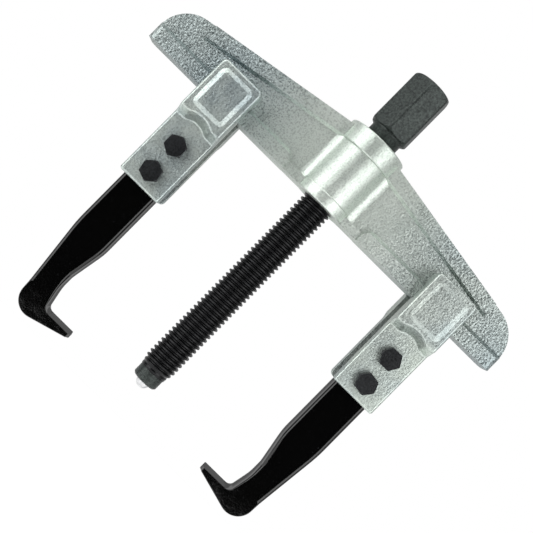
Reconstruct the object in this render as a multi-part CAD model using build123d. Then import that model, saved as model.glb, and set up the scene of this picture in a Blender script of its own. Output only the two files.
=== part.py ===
from build123d import *
from math import atan, cos, degrees, floor, radians, sin, tan
import os

# A two-arm gear puller with sliding jaws. Lengths are millimetres.
# +Z runs along the forcing screw towards its hexagon head, +X along the crossbeam,
# and -Y is the front, where the bolt heads are. The origin lies on the screw's axis,
# in the plane of the crossbeam's flat underside.

# ---------------------------------------------------------------- crossbeam
beam_length = 185.0
web_half = 5.0  # half the thickness of the beam's thin middle
beam_crown = 33.8  # height where the two sloping top edges would meet
top_slope = 9.5  # degrees
end_corner_radius = 14.0  # the beam's two top outer corners
band_half = 6.6  # the proud band along the top edge
band_height = 7.0
band_start = 76.5  # where the band begins, from the middle
rail_half = 8.5  # the flange that the arms slide on
rail_edge_height = 5.8
rail_root_height = 7.4  # the flange's upper face slopes up to the web
rail_notch_reach = 20.2  # beside the hub the flange is lower and shallower
rail_notch_half = 7.2
rail_notch_height = 3.7
hub_radius = 12.5
hub_blend_radius = 6.0  # concave blend between hub and web
top_collar_radius = 13.6
top_collar_start = 25.4
top_collar_round = 0.8
hub_top = 34.0
low_collar_radius = 13.0
low_collar_top = 4.8
low_collar_round = 0.6

# ---------------------------------------------------------------- forcing screw, M14 x 2
thread_radius = 6.95
thread_depth = 1.1
thread_root_radius = thread_radius - thread_depth
thread_pitch = 2.0
crest_flat = 0.25
flank_length = 0.62  # along the axis, from crest to root
thread_gap = 0.2  # between the thread's crests and the hub's bore
thread_length = 92.3  # below the beam's underside
thread_runout = 5.0  # over which the last turns taper down
point_radius = thread_root_radius - 0.25  # the plain point clears the thread's root
point_length = 5.0
point_chamfer = 0.6
neck_radius = thread_radius + 0.25  # wider than the thread, so that it stops on the hub
neck_length = 4.6
neck_chamfer = 0.5
hex_across_flats = 17.0
hex_length = 26.0
hex_turn = 8.6  # degrees that a corner of the hexagon stands away from the front
seat_gap = 0.4  # between the neck's shoulder and the hub at full reach
ball_radius = 3.0
ball_gap = 0.05

# ---------------------------------------------------------------- arms
left_arm_x = -54.2  # where each arm stands at rest
right_arm_x = 61.0
cheek_width = 20.0
cheek_headroom = 0.1  # below the beam's proud band
cheek_top = beam_crown - tan(radians(top_slope)) * band_start - band_height - cheek_headroom
cheek_bottom = -44.0
cheek_outer = 16.4  # how far the cheek's upper part stands from the beam's middle plane
plate_outer = 12.0  # the same for its thin lower part
slide_gap = 0.35  # between the arms and the beam
step_top = -10.2  # the step between the two parts
step_bottom = -13.4
step_round = 1.2
arch_width = 13.0  # the step's raised arch in the middle
arch_rise = 1.8
arch_end_radius = 5.0  # where the arch runs out into the straight step
pad_width = 15.4
pad_height = 19.0
pad_middle = 2.2
pad_proud = 0.7
pad_corner = 2.4
pad_slope = 1.8  # width of its sloping border
edge_round = 1.0

claw_half = 6.0  # half the claw's thickness
claw_top = -0.7
claw_draft = 6.0  # degrees, the forging draft on the claw's sides
claw_half_width = 8.6
claw_waist_half = 5.9
claw_back_half = 4.5  # behind the hook, at the heel
claw_back_bend = 60.0  # radius where the outer side starts to lean inwards
waist_rise = 14.0  # from the hook's face up to the claw's narrowest part
hook_top = -104.0  # the face that pulls
hook_reach = 21.3  # from the claw's middle line to the tip
hook_tip_height = 2.3
hook_slope = 15.5  # degrees, the underside of the hook
heel_radius = 8.0
hook_root = 1.8  # from the waist's side out to the hook's inner corner
hook_fillet = 2.0

# ---------------------------------------------------------------- fasteners, M5
bolt_radius = 2.5
bolt_clearance = 0.2
bolt_hole_radius = bolt_radius + bolt_clearance
bolt_head_flats = 8.0
bolt_head_height = 3.5
upper_bolt_z = -23.4
lower_bolt_z = -36.6
bolt_head_turns = {"left_upper": 30, "left_lower": 20, "right_upper": 0, "right_lower": 8}
bolt_end_proud = 1.6  # past the nut
bolt_end_chamfer = 0.4
washer_radius = 4.4
washer_thickness = 1.2
washer_split = 0.7  # the spring washer's slanted cut
washer_split_lean = 20.0  # degrees
nut_height = 4.0
nut_clearance = 0.1
nut_hole_radius = bolt_radius + nut_clearance
nut_turn = 17.0  # degrees, from the bolt's head


def top_edge(x):
    """Height of the beam's sloping top edge at a distance x from the middle."""
    return beam_crown - tan(radians(top_slope)) * abs(x)


def front_prism(points, half):
    """A closed outline in the X-Z plane, made `half` thick to each side of it."""
    return extrude(make_face(Plane.XZ * Polyline(*points, close=True)), amount=half, both=True)


def hexagon(flats, height, turn=0.0):
    """A hexagonal prism standing on the X-Y plane, with chamfered corners at both ends."""
    across_corners = flats / cos(radians(30))
    prism = extrude(RegularPolygon(across_corners / 2, 6, rotation=turn), amount=height)
    chamfer_height = (across_corners - flats) / 2 * tan(radians(30))
    rounded = Pos(0, 0, height / 2) * Cylinder(across_corners / 2, height)
    return prism & chamfer(rounded.edges().filter_by(GeomType.CIRCLE), chamfer_height, flats / 14)


def crossbeam():
    end_x = beam_length / 2
    outline = front_prism(
        [(-end_x, 0), (end_x, 0), (end_x, top_edge(end_x)), (0, beam_crown), (-end_x, top_edge(end_x))],
        rail_half * 3,
    )
    corners = outline.edges().filter_by(Axis.Y).group_by(Axis.X)
    high_corners = [max(side, key=lambda e: e.center().Z) for side in (corners[0], corners[-1])]
    outline = fillet(high_corners, end_corner_radius)

    # web and hub in plan, with a concave blend on each of the four inside corners
    plan = Rectangle(beam_length, 2 * web_half) + Circle(hub_radius)
    inside = [v for v in plan.vertices() if abs(v.X) < hub_radius]
    plan = fillet(inside, hub_blend_radius)
    body = outline & extrude(plan, amount=beam_crown)

    band_line = [-band_start, 0, band_start]
    band = front_prism(
        [(x, top_edge(x)) for x in band_line]
        + [(x, top_edge(x) - band_height) for x in reversed(band_line)],
        band_half,
    )
    slope_edges = [
        e
        for e in band.edges()
        if abs(e.center().Y) > web_half and abs(e.center().Z - top_edge(e.center().X)) > band_height - 1
        and abs(e.tangent_at(0.5).Z) < 0.5
    ]
    band = chamfer(slope_edges, band_half - web_half, (band_half - web_half) * 0.7)
    body += band

    section = make_face(
        Plane.YZ
        * Polyline(
            (-rail_half, 0),
            (rail_half, 0),
            (rail_half, rail_edge_height),
            (web_half, rail_root_height),
            (-web_half, rail_root_height),
            (-rail_half, rail_edge_height),
            close=True,
        )
    )
    rail = extrude(section, amount=end_x, both=True)
    ends = [e for e in rail.edges().filter_by(Axis.Z) if abs(abs(e.center().Y) - rail_half) < 1e-6]
    rail = fillet(ends, rail_half - web_half - 0.5)
    notch_ramp = rail_edge_height - rail_notch_height
    for side in (-1, 1):
        above = front_prism(
            [
                (-rail_notch_reach, rail_notch_height),
                (rail_notch_reach, rail_notch_height),
                (rail_notch_reach + 2 * notch_ramp, rail_root_height + notch_ramp),
                (-rail_notch_reach - 2 * notch_ramp, rail_root_height + notch_ramp),
            ],
            rail_half,
        )
        outer = Pos(0, side * (web_half + rail_half), 0) * Box(4 * rail_notch_reach, 2 * rail_half, 99)
        rail -= above & outer
        strip = Box(2 * rail_notch_reach, rail_half, 3 * rail_edge_height)
        rail -= Pos(0, side * (rail_notch_half + rail_half / 2), 0) * strip
    body += rail

    top_collar = Pos(0, 0, (top_collar_start + hub_top) / 2) * Cylinder(
        top_collar_radius, hub_top - top_collar_start
    )
    top_collar = fillet(top_collar.edges().filter_by(GeomType.CIRCLE), top_collar_round)
    low_collar = Pos(0, 0, low_collar_top / 2) * Cylinder(low_collar_radius, low_collar_top)
    low_collar = fillet(low_collar.edges().filter_by(GeomType.CIRCLE), low_collar_round)
    hub = Pos(0, 0, hub_top / 2) * Cylinder(hub_radius, hub_top - 1.0)
    body += top_collar + low_collar + hub
    above_hub = Pos(0, 0, hub_top + hub_radius) * Box(4 * hub_radius, 4 * hub_radius, 2 * hub_radius)
    body -= above_hub

    # the screw's hole, plain at a little over the thread's crests
    return body - Pos(0, 0, hub_top / 2) * Cylinder(thread_radius + thread_gap, 2 * hub_top)


def forcing_screw():
    """The screw in one piece. Its thread is drawn as a V-shaped ridge at every pitch."""
    shoulder = hub_top + seat_gap
    tip = -thread_length - point_length
    turns = floor((shoulder + thread_length) / thread_pitch)
    profile = [(0, -thread_length), (thread_root_radius, -thread_length)]
    for turn in range(turns):
        low = -thread_length + turn * thread_pitch
        share = min(1.0, (low + thread_length + thread_pitch) / thread_runout)
        crest = thread_root_radius + thread_depth * share
        rise = flank_length * share
        profile += [
            (thread_root_radius, low + flank_length - rise),
            (crest, low + flank_length),
            (crest, low + flank_length + crest_flat),
            (thread_root_radius, low + flank_length + crest_flat + rise),
        ]
    profile += [(thread_root_radius, shoulder), (0, shoulder)]
    outline = [p for p, q in zip(profile, profile[1:] + [None]) if p != q]
    shank = revolve(make_face(Plane.XZ * Polyline(*outline, close=True)), Axis.Z)

    point = Pos(0, 0, tip + point_length / 2) * Cylinder(point_radius, point_length)
    point = chamfer(point.edges().filter_by(GeomType.CIRCLE).sort_by(Axis.Z)[0], point_chamfer)
    neck = Pos(0, 0, shoulder + neck_length / 2) * Cylinder(neck_radius, neck_length)
    neck = chamfer(neck.edges().filter_by(GeomType.CIRCLE).sort_by(Axis.Z)[0], neck_chamfer)
    head = Pos(0, 0, shoulder + neck_length) * hexagon(hex_across_flats, hex_length, 30 - hex_turn)
    screw = shank + point + neck + head
    return screw - Pos(0, 0, tip) * Sphere(ball_radius + ball_gap)


def thrust_ball():
    return Pos(0, 0, -thread_length - point_length) * Sphere(ball_radius)


def upper_block():
    """The cheek's thick upper part. Its sloping underside rises in an arch in the middle."""
    half = arch_width / 2
    sweep = 2 * atan(arch_rise / half)
    crown_radius = half / sin(sweep) - arch_end_radius
    crown_z = step_bottom + arch_rise - crown_radius
    end_z = step_bottom + arch_end_radius
    reach = 2 * cheek_width  # past the cheek on the three sides that are cut back to it
    top = cheek_top + reach
    turn = degrees(sweep)
    outline = [
        Line((-reach, step_bottom), (-half, step_bottom)),
        CenterArc((-half, end_z), arch_end_radius, -90, turn),
        CenterArc((0, crown_z), crown_radius, 90 + turn, -2 * turn),
        CenterArc((half, end_z), arch_end_radius, -90 - turn, turn),
        Line((half, step_bottom), (reach, step_bottom)),
        Line((reach, step_bottom), (reach, top)),
        Line((reach, top), (-reach, top)),
        Line((-reach, top), (-reach, step_bottom)),
    ]
    facing = Plane((0, plate_outer, 0), x_dir=(-1, 0, 0), z_dir=(0, 1, 0))
    proud = cheek_outer - plate_outer
    slope = degrees(atan((step_top - step_bottom) / proud))
    block = extrude(facing * make_face(outline), amount=proud, taper=slope)
    middle = (cheek_top + cheek_bottom) / 2
    return block & Pos(0, plate_outer, middle) * Box(cheek_width, 4 * proud, cheek_top - cheek_bottom)


def is_step_edge(edge):
    """Whether an edge is one of the two along the step between a cheek's parts."""
    ends = [edge.position_at(share) for share in (0, 0.5, 1)]
    level = abs(ends[0].Y - ends[2].Y) < 1e-6 and ends[0].Y > plate_outer - 1e-6
    height = arch_rise + 0.1
    near_step = all(step_bottom - 0.1 < p.Z < step_top + height for p in ends)
    return level and near_step and abs(ends[0].X - ends[2].X) > 0.1


def is_outer_rim(edge):
    """Whether an edge lies round a cheek's outer face."""
    ends = [edge.position_at(share) for share in (0.1, 0.9)]
    outside = all(p.Y > plate_outer - 1e-6 for p in ends)
    lengthwise = abs(ends[0].Y - ends[1].Y) < 1e-6 or abs(ends[0].Z - ends[1].Z) > 0.1
    return outside and lengthwise and edge.length > 0.5


def cheek(arm_x, side, bottom_corner):
    """One of an arm's two clamping cheeks: side is -1 at the front and 1 at the rear."""
    rail_gap = rail_half + slide_gap
    lip = web_half + slide_gap

    section = Polyline(
        (plate_outer, cheek_top),
        (plate_outer, cheek_bottom),
        (claw_half, cheek_bottom),
        (claw_half, -slide_gap),
        (rail_gap, -slide_gap),
        (rail_gap, rail_edge_height + slide_gap),
        (lip, rail_root_height + slide_gap),
        (lip, cheek_top),
        close=True,
    )
    body = extrude(Plane.YZ * make_face(section), amount=cheek_width / 2, both=True)
    body += upper_block()
    step = [e for e in body.edges() if is_step_edge(e)]
    body = fillet(step, step_round)
    crosswise = body.edges().filter_by(Axis.Y)
    high = [e for e in crosswise if abs(e.center().Z - cheek_top) < 1e-6]
    body = fillet(high, 2 * edge_round)
    low = [e for e in body.edges().filter_by(Axis.Y) if abs(e.center().Z - cheek_bottom) < 1e-6]
    body = fillet(low, bottom_corner)
    rim = [e for e in body.edges() if is_outer_rim(e)]
    body = fillet(rim, edge_round)

    def pad_outline(border):
        outline = Rectangle(pad_width - 2 * border, pad_height - 2 * border)
        return fillet(outline.vertices(), pad_corner - border)

    buried = pad_slope / 3
    facing = Plane((0, cheek_outer - buried * pad_proud / pad_slope, pad_middle), x_dir=(-1, 0, 0), z_dir=(0, 1, 0))
    rise = pad_proud * (1 + buried / pad_slope)
    body += loft([facing * pad_outline(-buried), facing.offset(rise) * pad_outline(pad_slope)], ruled=True)
    for z in (upper_bolt_z, lower_bolt_z):
        body -= Pos(0, 0, z) * Rot(90, 0, 0) * Cylinder(bolt_hole_radius, 4 * cheek_outer)
    if side < 0:
        body = mirror(body, Plane.XZ)
    return Pos(arm_x, 0, 0) * body


def claw(arm_x, inward):
    """The hooked jaw; inward is 1 where the screw lies towards +X."""
    hook_foot = hook_top - hook_tip_height
    hook_start = claw_waist_half + hook_root
    # the draft takes this much off the outline at the claw's faces
    inset = claw_half * tan(radians(claw_draft))
    heel_z = hook_foot - (hook_reach + claw_back_half) * tan(radians(hook_slope))
    neck_z = hook_top + waist_rise
    # corners of the outline, each with the radius that rounds it
    corners = [
        ((-claw_half_width, claw_top), 0),
        ((-claw_half_width, neck_z + 20), claw_back_bend),
        ((-claw_back_half - 0.7, hook_top + 4), 30),
        ((-claw_back_half, heel_z), heel_radius),
        ((hook_reach, hook_foot), 0),
        ((hook_reach, hook_top + inset), 0),
        ((hook_start, hook_top + inset), hook_fillet),
        ((claw_waist_half, neck_z - 4), 20),
        ((claw_waist_half, neck_z + 2), 12),
        ((claw_half_width, neck_z + 17), 30),
        ((claw_half_width, claw_top), 0),
    ]
    face = make_face(Polyline(*[point for point, _ in corners], close=True))
    for (x, z), radius in corners:
        if radius:
            corner = min(face.vertices(), key=lambda v: abs(v.X - x) + abs(v.Y - z))
            face = fillet(corner, radius)
    body = extrude(Plane.XZ * face, amount=claw_half, taper=claw_draft)
    body += extrude(Plane.XZ * face, amount=-claw_half, taper=claw_draft)
    # the pulling face is cut flat right across, with its inner corner rounded
    cutter = Pos(hook_start + 10, 0, hook_top + 5) * Box(20, 4 * claw_half, 10)
    corner = cutter.edges().filter_by(Axis.Y).sort_by(Axis.Z)[:2].sort_by(Axis.X)[0]
    body -= fillet(corner, hook_fillet)
    for z in (upper_bolt_z, lower_bolt_z):
        body -= Pos(0, 0, z) * Rot(90, 0, 0) * Cylinder(bolt_hole_radius, 4 * claw_half)
    if inward < 0:
        body = mirror(body, Plane.YZ)
    return Pos(arm_x, 0, 0) * body


def fastener_set(arm_x, z, turn):
    """Bolt, spring washer and nut of one clamping bolt, with the head at the front."""
    place = Pos(arm_x, -plate_outer, z) * Rot(-90, 0, 0)  # local +Z runs from front to rear
    grip = 2 * plate_outer
    shank = grip + washer_thickness + nut_height + bolt_end_proud
    rod = Pos(0, 0, shank / 2) * Cylinder(bolt_radius, shank)
    rod = chamfer(rod.edges().filter_by(GeomType.CIRCLE).sort_by(Axis.Z)[-1], bolt_end_chamfer)
    head = Pos(0, 0, -bolt_head_height) * hexagon(bolt_head_flats, bolt_head_height, turn)
    bolt = place * (rod + head)

    ring = Cylinder(washer_radius, washer_thickness) - Cylinder(bolt_hole_radius, washer_thickness)
    split = Pos(washer_radius, 0, 0) * Rot(washer_split_lean, 0, 0) * Box(
        2 * washer_radius, washer_split, 4 * washer_thickness
    )
    washer = place * Pos(0, 0, grip + washer_thickness / 2) * (ring - split)

    nut = hexagon(bolt_head_flats, nut_height, turn + nut_turn) - Pos(0, 0, nut_height / 2) * Cylinder(
        nut_hole_radius, nut_height
    )
    nut = place * Pos(0, 0, grip + washer_thickness) * nut
    return bolt, washer, nut


os.makedirs("parts", exist_ok=True)
nodes = {"crossbeam": crossbeam(), "forcing_screw": forcing_screw(), "thrust_ball": thrust_ball()}
for arm, x, inward in (("left", left_arm_x, 1), ("right", right_arm_x, -1)):
    nodes[f"{arm}_front_cheek"] = cheek(x, -1, edge_round)
    nodes[f"{arm}_rear_cheek"] = cheek(x, 1, 2 * edge_round)
    nodes[f"{arm}_claw"] = claw(x, inward)
    for level, z in (("upper", upper_bolt_z), ("lower", lower_bolt_z)):
        bolt, washer, nut = fastener_set(x, z, bolt_head_turns[f"{arm}_{level}"])
        nodes[f"{arm}_{level}_bolt"] = bolt
        nodes[f"{arm}_{level}_washer"] = washer
        nodes[f"{arm}_{level}_nut"] = nut

for name, shape in nodes.items():
    shape.label = name
    export_step(shape, f"parts/{name}.step")
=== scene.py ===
# %% [markdown]
# # A two-arm gear puller
# This lesson finishes the look of a gear puller whose shapes come from a CAD model.
# The model brings the right sizes and joints. Here each piece gets the surface that the
# real one has: bright zinc over a shot-blasted forging, gloss black enamel on the claws,
# black phosphate on the screw, and a polished steel ball.

import bpy
import bmesh
import math
from mathutils import Matrix, Vector


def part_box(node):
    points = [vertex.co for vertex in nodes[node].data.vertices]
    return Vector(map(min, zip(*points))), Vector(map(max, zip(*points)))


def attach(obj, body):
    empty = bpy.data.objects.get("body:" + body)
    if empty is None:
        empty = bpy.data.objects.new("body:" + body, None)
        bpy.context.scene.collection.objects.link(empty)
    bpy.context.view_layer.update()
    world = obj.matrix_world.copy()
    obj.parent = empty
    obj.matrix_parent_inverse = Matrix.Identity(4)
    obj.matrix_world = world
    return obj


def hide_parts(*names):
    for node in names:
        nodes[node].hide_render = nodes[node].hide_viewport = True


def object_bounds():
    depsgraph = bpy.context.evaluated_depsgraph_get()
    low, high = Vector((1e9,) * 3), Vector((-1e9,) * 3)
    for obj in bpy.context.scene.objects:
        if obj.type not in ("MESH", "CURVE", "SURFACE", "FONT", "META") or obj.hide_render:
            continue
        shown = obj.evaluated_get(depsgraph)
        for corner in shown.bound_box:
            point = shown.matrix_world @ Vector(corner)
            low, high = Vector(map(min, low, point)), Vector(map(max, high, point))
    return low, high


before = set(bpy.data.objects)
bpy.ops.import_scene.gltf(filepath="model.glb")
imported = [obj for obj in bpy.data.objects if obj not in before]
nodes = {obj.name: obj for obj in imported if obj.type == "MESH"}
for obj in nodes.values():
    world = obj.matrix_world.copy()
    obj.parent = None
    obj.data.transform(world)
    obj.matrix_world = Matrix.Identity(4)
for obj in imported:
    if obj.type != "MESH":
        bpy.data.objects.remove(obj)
cad_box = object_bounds()
MM = 0.001
JOIN = 0.001 * MM  # points nearer than this are one point
FLAT = math.radians(0.4)  # faces that meet at less than this are one flat face
FOLD = math.radians(19)  # faces that meet at more than this have an edge between them
print("nodes:", len(nodes), "box:", [tuple(round(v / MM, 1) for v in c) for c in cad_box])

# %% [markdown]
# ## Small helpers
# Colours are written as the hex values that a paint chart gives. Blender's shaders work
# with linear light, so one function converts them. Materials are built from nodes, and one
# function adds a node, sets it and links it, which keeps each recipe short enough to read.


# %% Colour and node helpers
def linear(hex_colour):
    """An sRGB hex colour as linear RGBA."""
    values = [int(hex_colour[i : i + 2], 16) / 255 for i in (1, 3, 5)]
    return [v / 12.92 if v <= 0.04045 else ((v + 0.055) / 1.055) ** 2.4 for v in values] + [1.0]


def add(tree, kind, settings=None, links=None):
    """Adds a node, sets its properties, input values or ramp stops, and links outputs to it."""
    node = tree.nodes.new(kind)
    for name, value in (settings or {}).items():
        if name == "stops":
            elements = node.color_ramp.elements
            while len(elements) < len(value):
                elements.new(0.5)
            for element, (position, colour) in zip(elements, value):
                element.position = position
                element.color = linear(colour)
        elif isinstance(name, str) and hasattr(node, name):
            setattr(node, name, value)
        else:
            node.inputs[name].default_value = value
    for name, source in (links or {}).items():
        tree.links.new(source, node.inputs[name])
    return node


def material(name, preview):
    """An empty node material with its output, ready for a shader."""
    made = bpy.data.materials.new(name)
    made.use_nodes = True
    made.node_tree.nodes.clear()
    made.diffuse_color = linear(preview)
    return made, made.node_tree


def finish_with(tree, shader):
    add(tree, "ShaderNodeOutputMaterial", links={"Surface": shader.outputs["BSDF"]})


# %% [markdown]
# ## Bright zinc over a shot-blasted forging
# The crossbeam and the cheeks are drop forgings, blasted with steel shot and then
# electroplated with zinc. The shot leaves pits a few tenths of a millimetre across, which
# catch the light as a fine salt-and-pepper grain, and the colour is darkened in the pits as
# painted shade. The plating turns them a cold, slightly blue grey. The beam's hub is
# smoother than its ends, so the grain grows with the distance from it.


# %% Zinc plating
PIT = 0.7 * MM  # coarser than real shot pits, so that they still show
DIMPLE = 1.0 * MM
LUMP = 9.0 * MM
CLOUD = 24.0 * MM
TINT = 40.0 * MM
PIT_DEPTH = 0.16 * MM
LUMP_HEIGHT = 0.6 * MM
# painted shade: the colour in the pits is darkened by this much at full grain
PIT_SHADE = 0.75  # how far the pits darken full grain
HUB_EDGE, BLASTED_FROM = 14 * MM, 62 * MM  # distances from the beam's middle


def zinc(name, spread_from, spread_to, grain, roughness, along_beam):
    """Zinc plating; grain and roughness run from a first to a second value over the spread."""
    made, tree = material(name, "#B5BCBC")
    place = add(tree, "ShaderNodeTexCoord").outputs["Object"]
    pits = add(
        tree,
        "ShaderNodeTexNoise",
        {"Scale": 1 / PIT, "Detail": 3.0, "Roughness": 0.62},
        {"Vector": place},
    )
    dimples = add(tree, "ShaderNodeTexVoronoi", {"Scale": 1 / DIMPLE}, {"Vector": place})
    lumps = add(tree, "ShaderNodeTexNoise", {"Scale": 1 / LUMP, "Detail": 2.0}, {"Vector": place})
    clouds = add(
        tree,
        "ShaderNodeTexNoise",
        {"Scale": 1 / CLOUD, "Detail": 3.0, "Roughness": 0.6},
        {"Vector": place},
    )
    tint = add(tree, "ShaderNodeTexNoise", {"Scale": 1 / TINT, "Detail": 1.0}, {"Vector": place})
    # On the beam the blasting grows away from the hub; elsewhere it varies in slow clouds.
    if along_beam:
        split = add(tree, "ShaderNodeSeparateXYZ", links={"Vector": place})
        spread = add(tree, "ShaderNodeMath", {"operation": "ABSOLUTE"}, {0: split.outputs["X"]})
    else:
        spread = clouds
    blasted = add(
        tree,
        "ShaderNodeMapRange",
        {"interpolation_type": "SMOOTHSTEP", "From Min": spread_from, "From Max": spread_to},
        {"Value": spread.outputs[0]},
    )
    grained = add(
        tree,
        "ShaderNodeMapRange",
        {"To Min": grain[0], "To Max": grain[1]},
        {"Value": blasted.outputs["Result"]},
    )
    height = add(
        tree,
        "ShaderNodeMath",
        {"operation": "ADD"},
        {0: pits.outputs["Fac"], 1: dimples.outputs["Distance"]},
    )
    depth = add(
        tree,
        "ShaderNodeMath",
        {"operation": "MULTIPLY"},
        {0: height.outputs[0], 1: grained.outputs["Result"]},
    )
    bump = add(
        tree,
        "ShaderNodeBump",
        {"Distance": PIT_DEPTH, "Strength": 1.0},
        {"Height": depth.outputs[0]},
    )
    uneven = add(
        tree,
        "ShaderNodeBump",
        {"Distance": LUMP_HEIGHT, "Strength": 0.4},
        {"Height": lumps.outputs["Fac"], "Normal": bump.outputs["Normal"]},
    )
    cream = add(
        tree,
        "ShaderNodeValToRGB",
        {"stops": [(0.3, "#C3CCC4"), (0.7, "#D6DDD6")]},
        {"Fac": clouds.outputs["Fac"]},
    )
    blue = add(
        tree,
        "ShaderNodeValToRGB",
        {"stops": [(0.35, "#A3AFB1"), (0.65, "#B2BAB6")]},
        {"Fac": tint.outputs["Fac"]},
    )
    plating = add(
        tree,
        "ShaderNodeMix",
        {"data_type": "RGBA"},
        {0: blasted.outputs["Result"], 6: cream.outputs["Color"], 7: blue.outputs["Color"]},
    )
    # Painted shade: the colour is darkened where the pit texture is low, in the pits.
    painted_pit_shade = add(
        tree,
        "ShaderNodeValToRGB",
        {"stops": [(0.38, "#4E5658"), (0.52, "#FFFFFF")]},
        {"Fac": pits.outputs["Fac"]},
    )
    pit_shade_share = add(
        tree,
        "ShaderNodeMath",
        {"operation": "MULTIPLY", 1: PIT_SHADE},
        {0: grained.outputs["Result"]},
    )
    colour = add(
        tree,
        "ShaderNodeMix",
        {"data_type": "RGBA", "blend_type": "MULTIPLY"},
        {0: pit_shade_share.outputs[0], 6: plating.outputs[2], 7: painted_pit_shade.outputs["Color"]},
    )
    gloss = add(
        tree,
        "ShaderNodeMapRange",
        {"To Min": roughness[0], "To Max": roughness[1]},
        {"Value": blasted.outputs["Result"]},
    )
    shader = add(
        tree,
        "ShaderNodeBsdfPrincipled",
        {"Metallic": 1.0},
        {
            "Base Color": colour.outputs[2],
            "Roughness": gloss.outputs["Result"],
            "Normal": uneven.outputs["Normal"],
        },
    )
    finish_with(tree, shader)
    return made


zinc_beam = zinc("zinc_plated_forging", HUB_EDGE, BLASTED_FROM, (0.35, 1.0), (0.46, 0.42), True)
zinc_cheek = zinc("zinc_plated_cheek", 0.3, 0.7, (0.3, 0.55), (0.44, 0.42), False)
print("zinc materials made")

# %% [markdown]
# ## Gloss black enamel
# The claws are dipped in stoving enamel. It pools a little, so the surface keeps long soft
# waves under a wet gloss, with specks of dust fixed in it. Enamel is not a metal: its
# gloss comes from a clear, smooth top over a black body.


# %% Enamel
ENAMEL_WAVE = 7.0 * MM
DUST = 0.7 * MM
WAVE_HEIGHT = 0.25 * MM
DUST_HEIGHT = 0.03 * MM


def enamel():
    made, tree = material("black_enamel", "#0A0A0B")
    place = add(tree, "ShaderNodeTexCoord").outputs["Object"]
    waves = add(
        tree, "ShaderNodeTexNoise", {"Scale": 1 / ENAMEL_WAVE, "Detail": 2.0}, {"Vector": place}
    )
    specks = add(
        tree,
        "ShaderNodeTexNoise",
        {"Scale": 1 / DUST, "Detail": 2.0, "Roughness": 0.6},
        {"Vector": place},
    )
    dust = add(
        tree,
        "ShaderNodeValToRGB",
        {"stops": [(0.7, "#020202"), (0.8, "#2A2B2D")]},
        {"Fac": specks.outputs["Fac"]},
    )
    bump = add(
        tree,
        "ShaderNodeBump",
        {"Distance": WAVE_HEIGHT, "Strength": 0.35},
        {"Height": waves.outputs["Fac"]},
    )
    fine = add(
        tree,
        "ShaderNodeBump",
        {"Distance": DUST_HEIGHT, "Strength": 0.5},
        {"Height": specks.outputs["Fac"], "Normal": bump.outputs["Normal"]},
    )
    shader = add(
        tree,
        "ShaderNodeBsdfPrincipled",
        {"Roughness": 0.08, "IOR": 1.5},
        {"Base Color": dust.outputs["Color"], "Normal": fine.outputs["Normal"]},
    )
    finish_with(tree, shader)
    return made


black_enamel = enamel()
print("enamel made")

# %% [markdown]
# ## Black phosphate and black oxide
# The screw and the bolts are blackened by a chemical bath and oiled. Phosphate crystals
# give a fine, even grain, and the oil lifts it to a satin. It is a thin skin on steel, so
# edges rub a little brighter.


# %% Blackened steel
OIL_CLOUD = 8.0 * MM


def blackened(name, dark, light, grain_mm, roughness, depth_mm):
    made, tree = material(name, dark)
    place = add(tree, "ShaderNodeTexCoord").outputs["Object"]
    crystals = add(
        tree,
        "ShaderNodeTexNoise",
        {"Scale": 1 / (grain_mm * MM), "Detail": 3.0, "Roughness": 0.6},
        {"Vector": place},
    )
    clouds = add(
        tree, "ShaderNodeTexNoise", {"Scale": 1 / OIL_CLOUD, "Detail": 2.0}, {"Vector": place}
    )
    colour = add(
        tree,
        "ShaderNodeValToRGB",
        {"stops": [(0.35, dark), (0.7, light)]},
        {"Fac": crystals.outputs["Fac"]},
    )
    bump = add(
        tree,
        "ShaderNodeBump",
        {"Distance": depth_mm * MM, "Strength": 0.7},
        {"Height": crystals.outputs["Fac"]},
    )
    rough = add(
        tree,
        "ShaderNodeMapRange",
        {
            "From Min": 0.3,
            "From Max": 0.7,
            "To Min": roughness - 0.06,
            "To Max": roughness + 0.08,
        },
        {"Value": clouds.outputs["Fac"]},
    )
    shader = add(
        tree,
        "ShaderNodeBsdfPrincipled",
        {"Metallic": 0.6, "Specular IOR Level": 0.5},
        {
            "Base Color": colour.outputs["Color"],
            "Roughness": rough.outputs["Result"],
            "Normal": bump.outputs["Normal"],
        },
    )
    finish_with(tree, shader)
    return made


phosphate = blackened("black_phosphate", "#242827", "#424946", 0.9, 0.45, 0.1)
oxide = blackened("black_oxide", "#101113", "#2A2C2E", 0.7, 0.4, 0.06)
print("blackened steels made")

# %% [markdown]
# ## Polished ball and spring washers
# The ball is bearing steel, ground and lapped to a mirror. The washers are zinc plated
# like the cheeks but rolled from wire, so they have no blasted grain.


# %% Polished steel
LINE_HEIGHT = 0.01 * MM


def polished(name, hex_colour, roughness, line_mm):
    made, tree = material(name, hex_colour)
    place = add(tree, "ShaderNodeTexCoord").outputs["Object"]
    lines = add(
        tree,
        "ShaderNodeTexNoise",
        {"Scale": 1 / (line_mm * MM), "Detail": 2.0},
        {"Vector": place},
    )
    bump = add(
        tree,
        "ShaderNodeBump",
        {"Distance": LINE_HEIGHT, "Strength": 0.3},
        {"Height": lines.outputs["Fac"]},
    )
    shade = add(
        tree,
        "ShaderNodeValToRGB",
        {"stops": [(0.3, hex_colour), (0.8, "#F2F2F2")]},
        {"Fac": lines.outputs["Fac"]},
    )
    shader = add(
        tree,
        "ShaderNodeBsdfPrincipled",
        {"Metallic": 1.0, "Roughness": roughness},
        {"Base Color": shade.outputs["Color"], "Normal": bump.outputs["Normal"]},
    )
    finish_with(tree, shader)
    return made


ball_steel = polished("polished_ball_steel", "#A6A8AA", 0.12, 2.0)
washer_steel = polished("zinc_spring_wire", "#B9C0C2", 0.3, 0.8)
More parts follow.
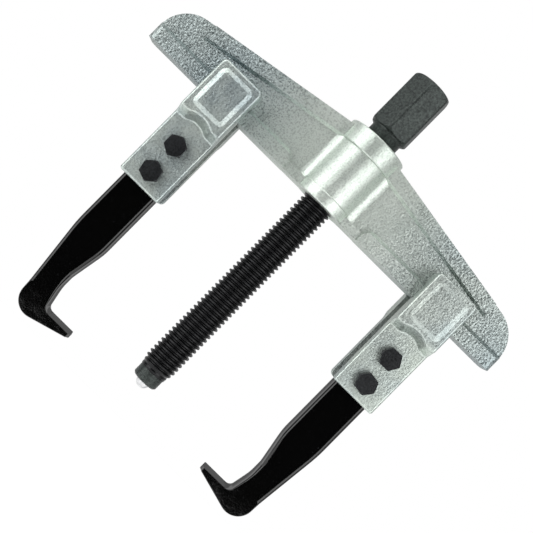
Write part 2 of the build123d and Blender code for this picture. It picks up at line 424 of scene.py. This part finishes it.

# %% [markdown]
# ## New pieces and their bodies
# Some pieces below are modelled here in place of the CAD model's own. Each one has to ride
# on the same moving body as what it replaces, so one function links it to the scene, gives
# it its finish and says which body it belongs to.


# %% Pieces
def link(name, data, finish, body):
    """Puts a mesh in the scene as a piece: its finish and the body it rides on."""
    piece = bpy.data.objects.new(name, data)
    bpy.context.scene.collection.objects.link(piece)
    data.materials.append(finish)
    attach(piece, body)
    return piece


# %% Dress the CAD nodes
for name, node in nodes.items():
    if "claw" in name:
        finish = black_enamel
    elif "cheek" in name:
        finish = zinc_cheek
    elif name == "crossbeam":
        finish = zinc_beam
    elif name == "thrust_ball":
        finish = ball_steel
    elif "washer" in name:
        finish = washer_steel
    elif name == "forcing_screw":
        finish = phosphate
    else:
        finish = oxide
    node.data.materials.clear()
    node.data.materials.append(finish)
print("dressed", len(nodes), "nodes")

# %% [markdown]
# ## Soft edges
# Nothing forged or plated has a knife edge, and a thin bright line along each edge is what
# tells the eye that a surface is metal. The edges are rounded by modifiers, which leave the
# model's own mesh as it is. Weld joins the loose triangles, Decimate merges the flat ones
# into whole faces, and Bevel then finds the true edges by their angle.


# %% Rounded edges
EDGE_SEGMENTS = 3
EDGE_ROUNDS = {"cheek": 0.5, "crossbeam": 0.5, "bolt": 0.3, "nut": 0.25, "washer": 0.15}  # mm


def soften(node, radius):
    weld = node.modifiers.new("join_triangles", "WELD")
    weld.merge_threshold = JOIN
    flat = node.modifiers.new("merge_flats", "DECIMATE")
    flat.decimate_type = "DISSOLVE"
    flat.angle_limit = FLAT
    edge = node.modifiers.new("rounded_edges", "BEVEL")
    edge.width = radius * MM
    edge.segments = EDGE_SEGMENTS
    edge.limit_method = "ANGLE"
    edge.angle_limit = FOLD
    edge.use_clamp_overlap = True
    edge.harden_normals = False
    node.modifiers.new("flat_faces_stay_flat", "WEIGHTED_NORMAL").keep_sharp = False


for name, node in nodes.items():
    for kind, radius in EDGE_ROUNDS.items():
        if kind in name:
            soften(node, radius)
print("edges rounded")

# %% [markdown]
# ## The claws
# A drop-forged claw leaves its two dies with sides that slope from a parting line, and the
# sharp rim of each face is ground back. The rim is widest down the shank and fades out at
# the hook, where the edge has to bite. So each claw is a copy of the model's mesh in which
# every rim edge carries a bevel weight, full on the shank and small on the hook. A patch is
# cut round the bolt holes first. Without it, the faces that carry the holes reach out to the
# rim, and the grinding would fold them over each other.

# %% Ground rims
CLAW_RIM = 1.5 * MM
HOOK_SHARE = 0.2
PATCH_HALF = 4.5 * MM  # half the width of the patch round the bolt holes
PATCH_ABOVE = 6.0 * MM  # how far it passes the upper and the lower hole
HOLE_REACH = 4.0 * MM  # edges nearer than this to a hole's middle belong to the hole
HOOK_HEIGHT = 10.0 * MM  # below this the rim stays narrow
RIM_GROWS = 14.0 * MM  # over this height it widens to its full width
ON_FACE = 0.01 * MM


def middle_of(node):
    low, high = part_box(node)
    return (low + high) / 2


def cut(mesh, place, direction, low_z=-math.inf, high_z=math.inf):
    """Cuts the faces between two heights along a plane, and keeps the cut as a seam."""
    faces = [f for f in mesh.faces if all(low_z < v.co.z < high_z for v in f.verts)]
    edges = {e for f in faces for e in f.edges}
    verts = {v for f in faces for v in f.verts}
    made = bmesh.ops.bisect_plane(
        mesh,
        geom=[*verts, *edges, *faces],
        dist=JOIN / 10,
        plane_co=place,
        plane_no=direction,
    )
    for part in made["geom_cut"]:
        if isinstance(part, bmesh.types.BMEdge):
            part.seam = True


for arm in ("left", "right"):
    low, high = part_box(f"{arm}_claw")
    hook_top = low.z + HOOK_HEIGHT
    holes = [middle_of(f"{arm}_{level}_bolt") for level in ("upper", "lower")]
    patch_top = holes[0].z + PATCH_ABOVE
    patch_bottom = holes[1].z - PATCH_ABOVE
    mesh = bmesh.new()
    mesh.from_mesh(nodes[f"{arm}_claw"].data)
    bmesh.ops.remove_doubles(mesh, verts=mesh.verts, dist=JOIN)
    for height in (patch_top, patch_bottom):
        cut(mesh, (0, 0, height), (0, 0, 1))
    for side in (-1, 1):
        place = (holes[0].x + side * PATCH_HALF, 0, 0)
        cut(mesh, place, (1, 0, 0), patch_bottom - ON_FACE, patch_top + ON_FACE)
    bmesh.ops.dissolve_limit(
        mesh,
        angle_limit=FLAT,
        verts=mesh.verts,
        edges=mesh.edges,
        delimit={"SEAM"},
    )
    weights = mesh.edges.layers.float.new("bevel_weight_edge")
    for edge in mesh.edges:
        middle = (edge.verts[0].co + edge.verts[1].co) / 2
        on_rim = all(abs(abs(v.co.y) - high.y) < ON_FACE for v in edge.verts)
        folded = len(edge.link_faces) == 2 and edge.calc_face_angle() > FOLD
        in_hole = any(math.hypot(middle.x - h.x, middle.z - h.z) < HOLE_REACH for h in holes)
        if folded and not in_hole:
            shank_share = min(max((middle.z - hook_top) / RIM_GROWS, 0.0), 1.0)
            full = HOOK_SHARE + (1 - HOOK_SHARE) * shank_share
            edge[weights] = full if on_rim else HOOK_SHARE
    data = bpy.data.meshes.new(f"{arm}_claw_ground")
    mesh.to_mesh(data)
    mesh.free()
    data.shade_smooth()
    data.set_sharp_from_angle(angle=math.radians(40))
    ground = link(f"{arm}_claw_ground", data, black_enamel, f"{arm}_arm")
    rim = ground.modifiers.new("ground_rim", "BEVEL")
    rim.limit_method = "WEIGHT"
    rim.width = CLAW_RIM
    rim.segments = EDGE_SEGMENTS
    rim.use_clamp_overlap = False
    ground.modifiers.new("join_points", "WELD").merge_threshold = JOIN
    ground.modifiers.new("flat_faces_stay_flat", "WEIGHTED_NORMAL").keep_sharp = False
    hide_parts(f"{arm}_claw")
    print(ground.name, "faces:", len(data.polygons))

# %% [markdown]
# ## The forcing screw
# A real M14 thread is one ridge that climbs 2 mm each turn. The CAD model stands rings in
# its place, so this piece builds the true helix. Every point of a screw's surface lies at a
# radius that depends only on how far it is above the ridge, and that distance grows as you
# walk round. So a grid of points, rows up the axis and columns round it, needs one formula.

# %% Thread sizes
PITCH = 2.0 * MM
CREST = 6.95 * MM
ROOT = 5.85 * MM
RUNOUT = 5.0 * MM  # over which the last turns taper down
FLANK_FOOT = 0.86  # from the ridge's middle, in half pitches: the root lies beyond it
FLANK = 0.62  # the flank's length, also in half pitches
FLANK_ROUND = 0.35  # how much of the flank's line is rounded off
NECK = 7.2 * MM
NECK_LENGTH = 4.6 * MM
POINT = 5.6 * MM
POINT_LENGTH = 5.0 * MM
SEAT_GAP = 0.4 * MM  # between the neck's shoulder and the hub
screw_low, screw_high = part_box("forcing_screw")
POINT_END = screw_low.z
THREAD_END = POINT_END + POINT_LENGTH
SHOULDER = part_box("crossbeam")[1].z + SEAT_GAP
NECK_TOP = SHOULDER + NECK_LENGTH
print("thread from", round(THREAD_END / MM, 1), "to", round(SHOULDER / MM, 1))


# %% Round solids
def round_solid(name, rings):
    """A closed mesh from rings of points, bottom to top, with as many points in each."""
    mesh = bmesh.new()
    grid = [[mesh.verts.new(point) for point in ring] for ring in rings]
    columns = len(grid[0])
    for low, high in zip(grid, grid[1:]):
        for c in range(columns):
            d = (c + 1) % columns
            mesh.faces.new((low[c], low[d], high[d], high[c]))
    mesh.faces.new(list(reversed(grid[0])))
    mesh.faces.new(grid[-1])
    data = bpy.data.meshes.new(name)
    mesh.to_mesh(data)
    mesh.free()
    data.shade_smooth()
    return data


def ring_of(columns, z, radius_at):
    """Points round the axis at one height, where radius_at gives the radius at an angle."""
    turns = [2 * math.pi * c / columns for c in range(columns)]
    return [(radius_at(t) * math.cos(t), radius_at(t) * math.sin(t), z) for t in turns]


# %% Helical thread
def smooth_step(value):
    value = min(max(value, 0.0), 1.0)
    return value * value * (3 - 2 * value)


def thread_radius(height, turn):
    """Radius of the threaded rod at a height and an angle: crest, flanks and root in turn."""
    phase = ((height - THREAD_END) / PITCH - turn / (2 * math.pi)) % 1.0
    away = abs(phase - 0.5) * 2
    ridge = min(max((FLANK_FOOT - away) / FLANK, 0.0), 1.0)
    ridge = smooth_step(ridge) * FLANK_ROUND + ridge * (1 - FLANK_ROUND)
    grown = smooth_step((height - THREAD_END) / RUNOUT)
    return ROOT + (CREST - ROOT) * ridge * grown


def thread_rod():
    columns, rows_per_turn = 72, 16
    rows = int((SHOULDER - THREAD_END) / PITCH * rows_per_turn) + 1
    rings = []
    for r in range(rows + 1):
        z = THREAD_END + (SHOULDER - THREAD_END) * r / rows
        rings.append(ring_of(columns, z, lambda turn: thread_radius(z, turn)))
    return round_solid("screw_thread", rings)


def lathe(name, outline, columns=72):
    """A solid of revolution from (radius, height) points, bottom to top."""
    return round_solid(name, [ring_of(columns, z, lambda turn: radius) for radius, z in outline])


thread_finish = blackened("oiled_black_thread", "#0B0B0C", "#1D1E20", 0.5, 0.3, 0.02)
thread = link("screw_thread", thread_rod(), thread_finish, "forcing_screw")
print("thread faces:", len(thread.data.polygons))

# %% [markdown]
# ## The screw's head
# The hexagon is forged and its ends are turned, which leaves round arcs where the cone of
# the chamfer meets each flat. The simplest true way to get those arcs is the way the lathe
# does: take the smaller of the flat's distance and the cone's radius at every point.


# %% Hexagon head
HEX_FLATS = 17.0 * MM
HEX_CORNERS = HEX_FLATS / 2 / math.cos(math.pi / 6)  # from the axis to a sharp corner
HEX_TURN = math.radians(8.6)
CORNER_ROUND = 0.25 * MM
DOME_HEIGHT = 3.6 * MM
DOME_DEPTH = 2.4 * MM
FOOT_EDGE = 0.25 * MM  # a small chamfer where the hexagon begins
FOOT_HEIGHT = 2.0 * MM  # the turned cone above it
FOOT_STEPS, DOME_STEPS = 8, 12


def hex_radius(turn):
    """Distance from the axis to a hexagon's side, with its corners slightly rounded."""
    sector = (turn + math.pi / 2 + HEX_TURN) % (math.pi / 3)
    sharp = HEX_FLATS / 2 / math.cos(abs(sector - math.pi / 6))
    return min(sharp, HEX_CORNERS - CORNER_ROUND)


def screw_head():
    bottom, top = NECK_TOP, screw_high.z
    # the height and the turned cone's radius there
    start, start_radius = bottom + FOOT_EDGE, HEX_FLATS / 2 - 0.1 * MM
    profile = [(bottom, HEX_FLATS / 2 - 0.6 * MM), (start, start_radius)]
    for i in range(1, FOOT_STEPS + 1):
        grown = (HEX_CORNERS - start_radius) * math.sin(math.pi / 2 * i / FOOT_STEPS)
        profile.append((start + FOOT_HEIGHT * i / FOOT_STEPS, start_radius + grown))
    profile += [(bottom + (top - bottom) * pit_shade_share, HEX_CORNERS) for pit_shade_share in (0.3, 0.5, 0.7)]
    for i in range(DOME_STEPS + 1):
        angle = math.pi / 2 * i / DOME_STEPS
        radius = HEX_CORNERS - DOME_DEPTH * (1 - math.cos(angle))
        profile.append((top - DOME_HEIGHT + DOME_HEIGHT * math.sin(angle), radius))
    rings = [ring_of(240, z, lambda turn: min(hex_radius(turn), cone)) for z, cone in profile]
    data = round_solid("screw_head", rings)
    data.set_sharp_from_angle(angle=math.radians(35))
    return data


head = link("screw_head", screw_head(), phosphate, "forcing_screw")
neck_outline = [
    (NECK - 0.5 * MM, SHOULDER),
    (NECK, SHOULDER + 0.5 * MM),
    (NECK, NECK_TOP - 0.6 * MM),
    (NECK + 0.8 * MM, NECK_TOP + 0.05 * MM),
]
neck_mesh = lathe("screw_neck", neck_outline)
neck = link("screw_neck", neck_mesh, phosphate, "forcing_screw")
point_outline = [
    (3.1 * MM, POINT_END),
    (POINT - 0.7 * MM, POINT_END),
    (POINT - 0.1 * MM, POINT_END + 0.6 * MM),
    (POINT, POINT_END + 1.0 * MM),
    (POINT, THREAD_END + 0.2 * MM),
]
point_mesh = lathe("screw_point", point_outline)
point = link("screw_point", point_mesh, phosphate, "forcing_screw")
point.data.set_sharp_from_angle(angle=math.radians(30))
for piece in (thread, head, neck, point):
    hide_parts("forcing_screw")
print("head faces:", len(head.data.polygons))

# %% [markdown]
# ## Floor, light and camera
# A product shot on white. Metal shows what it mirrors, so the lights matter more than the
# colours: a tall softbox on each side of the camera, one overhead, and darkness in between.
# The camera sees pure white, but the room that the tool mirrors is dark in front and light
# behind. The floor is a small sheet well below the tool, or the enamel would mirror it.


# %% Light
def area_light(name, place, aim, size, power):
    data = bpy.data.lights.new(name, "AREA")
    data.shape = "RECTANGLE"
    data.size, data.size_y = size
    data.energy = power
    light = bpy.data.objects.new(name, data)
    light.location = place
    light.rotation_euler = (Vector(aim) - Vector(place)).to_track_quat("-Z", "Y").to_euler()
    bpy.context.scene.collection.objects.link(light)


CAMERA = Vector((-5.8, -415.5, -34.5)) * MM
YAW, PITCH_ANGLE, ROLL = -0.0205, 0.0073, 0.0018
ROLL_OF_TOOL = math.radians(44.6)
SENSOR = 36  # mm wide
FOCAL_WIDTHS = 1.98076923  # the lens's focal length in widths of the sensor

level = math.cos(PITCH_ANGLE)
forward = Vector((-math.sin(YAW) * level, math.cos(YAW) * level, math.sin(PITCH_ANGLE)))
right = Vector((math.cos(YAW), math.sin(YAW), 0))
up = right.cross(forward)
tilt = ROLL + ROLL_OF_TOOL
across = right * math.cos(tilt) + up * math.sin(tilt)
upward = up * math.cos(tilt) - right * math.sin(tilt)
camera_data = bpy.data.cameras.new("camera")
camera = bpy.data.objects.new("camera", camera_data)
bpy.context.scene.collection.objects.link(camera)
camera.matrix_world = Matrix((across, upward, -forward)).transposed().to_4x4()
camera.location = CAMERA
camera_data.sensor_width = SENSOR
camera_data.lens = SENSOR * FOCAL_WIDTHS
camera_data.clip_start = 0.01
bpy.context.scene.camera = camera
print("camera lens:", round(camera_data.lens, 1))


# The floor is a sheet of white paper, well below the tool.
FLOOR_DROP = 120 * MM
FLOOR_HALF = 600 * MM
FLOOR_GLOW = 0.35
FIBRE = 30 * MM
floor_z = cad_box[0][2] - FLOOR_DROP
floor_mesh = bpy.data.meshes.new("floor")
signs = [(-1, -1), (1, -1), (1, 1), (-1, 1)]
corners = [(x * FLOOR_HALF, y * FLOOR_HALF, floor_z) for x, y in signs]
floor_mesh.from_pydata(corners, [], [(0, 1, 2, 3)])
floor = bpy.data.objects.new("floor", floor_mesh)
bpy.context.scene.collection.objects.link(floor)
paper, tree = material("white_paper", "#FFFFFF")
place = add(tree, "ShaderNodeTexCoord").outputs["Object"]
fibres = add(tree, "ShaderNodeTexNoise", {"Scale": 1 / FIBRE, "Detail": 2.0}, {"Vector": place})
shade = add(
    tree,
    "ShaderNodeValToRGB",
    {"stops": [(0.0, "#E8E8E8"), (1.0, "#F4F4F4")]},
    {"Fac": fibres.outputs["Fac"]},
)
seen = add(tree, "ShaderNodeLightPath").outputs["Is Camera Ray"]
glow = add(tree, "ShaderNodeMath", {"operation": "MAXIMUM", 1: FLOOR_GLOW}, {0: seen})
shader = add(
    tree,
    "ShaderNodeBsdfPrincipled",
    {"Roughness": 0.9, "Emission Color": linear("#FFFFFF")},
    {"Base Color": shade.outputs["Color"], "Emission Strength": glow.outputs[0]},
)
finish_with(tree, shader)
floor_mesh.materials.append(paper)

# The world is white where the camera sees it, and a dim room for everything it lights.
# Straight behind the tool stands a grey screen, which keeps the enamel's narrow sides dark.
ROOM_DARK, ROOM_BRIGHT = 0.02, 0.85
SCREEN_SHARE = 0.25
world = bpy.data.worlds.new("studio")
bpy.context.scene.world = world
world.use_nodes = True
tree = world.node_tree
tree.nodes.clear()
direction = add(tree, "ShaderNodeTexCoord").outputs["Generated"]
split = add(tree, "ShaderNodeSeparateXYZ", links={"Vector": direction})
room = add(
    tree,
    "ShaderNodeMapRange",
    {
        "interpolation_type": "SMOOTHSTEP",
        "From Min": -1.0,
        "From Max": 0.85,
        "To Min": ROOM_DARK,
        "To Max": ROOM_BRIGHT,
    },
    {"Value": split.outputs["Y"]},
)
screen = add(
    tree,
    "ShaderNodeMapRange",
    {
        "interpolation_type": "SMOOTHSTEP",
        "From Min": 0.9,
        "From Max": 0.97,
        "To Min": 1.0,
        "To Max": SCREEN_SHARE,
    },
    {"Value": split.outputs["Y"]},
)
dimmed = add(
    tree,
    "ShaderNodeMath",
    {"operation": "MULTIPLY"},
    {0: room.outputs["Result"], 1: screen.outputs["Result"]},
)
seen = add(tree, "ShaderNodeLightPath").outputs["Is Camera Ray"]
strength = add(
    tree, "ShaderNodeMath", {"operation": "MAXIMUM"}, {0: dimmed.outputs[0], 1: seen}
)
background = add(
    tree,
    "ShaderNodeBackground",
    {"Color": linear("#FFFFFF")},
    {"Strength": strength.outputs[0]},
)
add(tree, "ShaderNodeOutputWorld", links={"Surface": background.outputs["Background"]})


LIGHT_AWAY = 700 * MM
TALL = (0.5, 0.9)  # a softbox's width and height in metres
MIDDLE = Vector((0, 0, -30 * MM))


def around(turn, rise, distance):
    """A place seen from the tool's middle: degrees to the right of the front, degrees up."""
    a, b = math.radians(turn), math.radians(rise)
    flat = math.cos(b)
    return MIDDLE + distance * Vector((math.sin(a) * flat, -math.cos(a) * flat, math.sin(b)))


area_light("left_softbox", around(-51, 10, LIGHT_AWAY), MIDDLE, TALL, 4.0)
area_light("right_softbox", around(42, 6, LIGHT_AWAY), MIDDLE, TALL, 3.8)
area_light("top_softbox", around(-30, 66, LIGHT_AWAY), MIDDLE, (0.8, 0.5), 2.4)
bpy.context.scene.view_settings.view_transform = "Standard"
print("lights set")
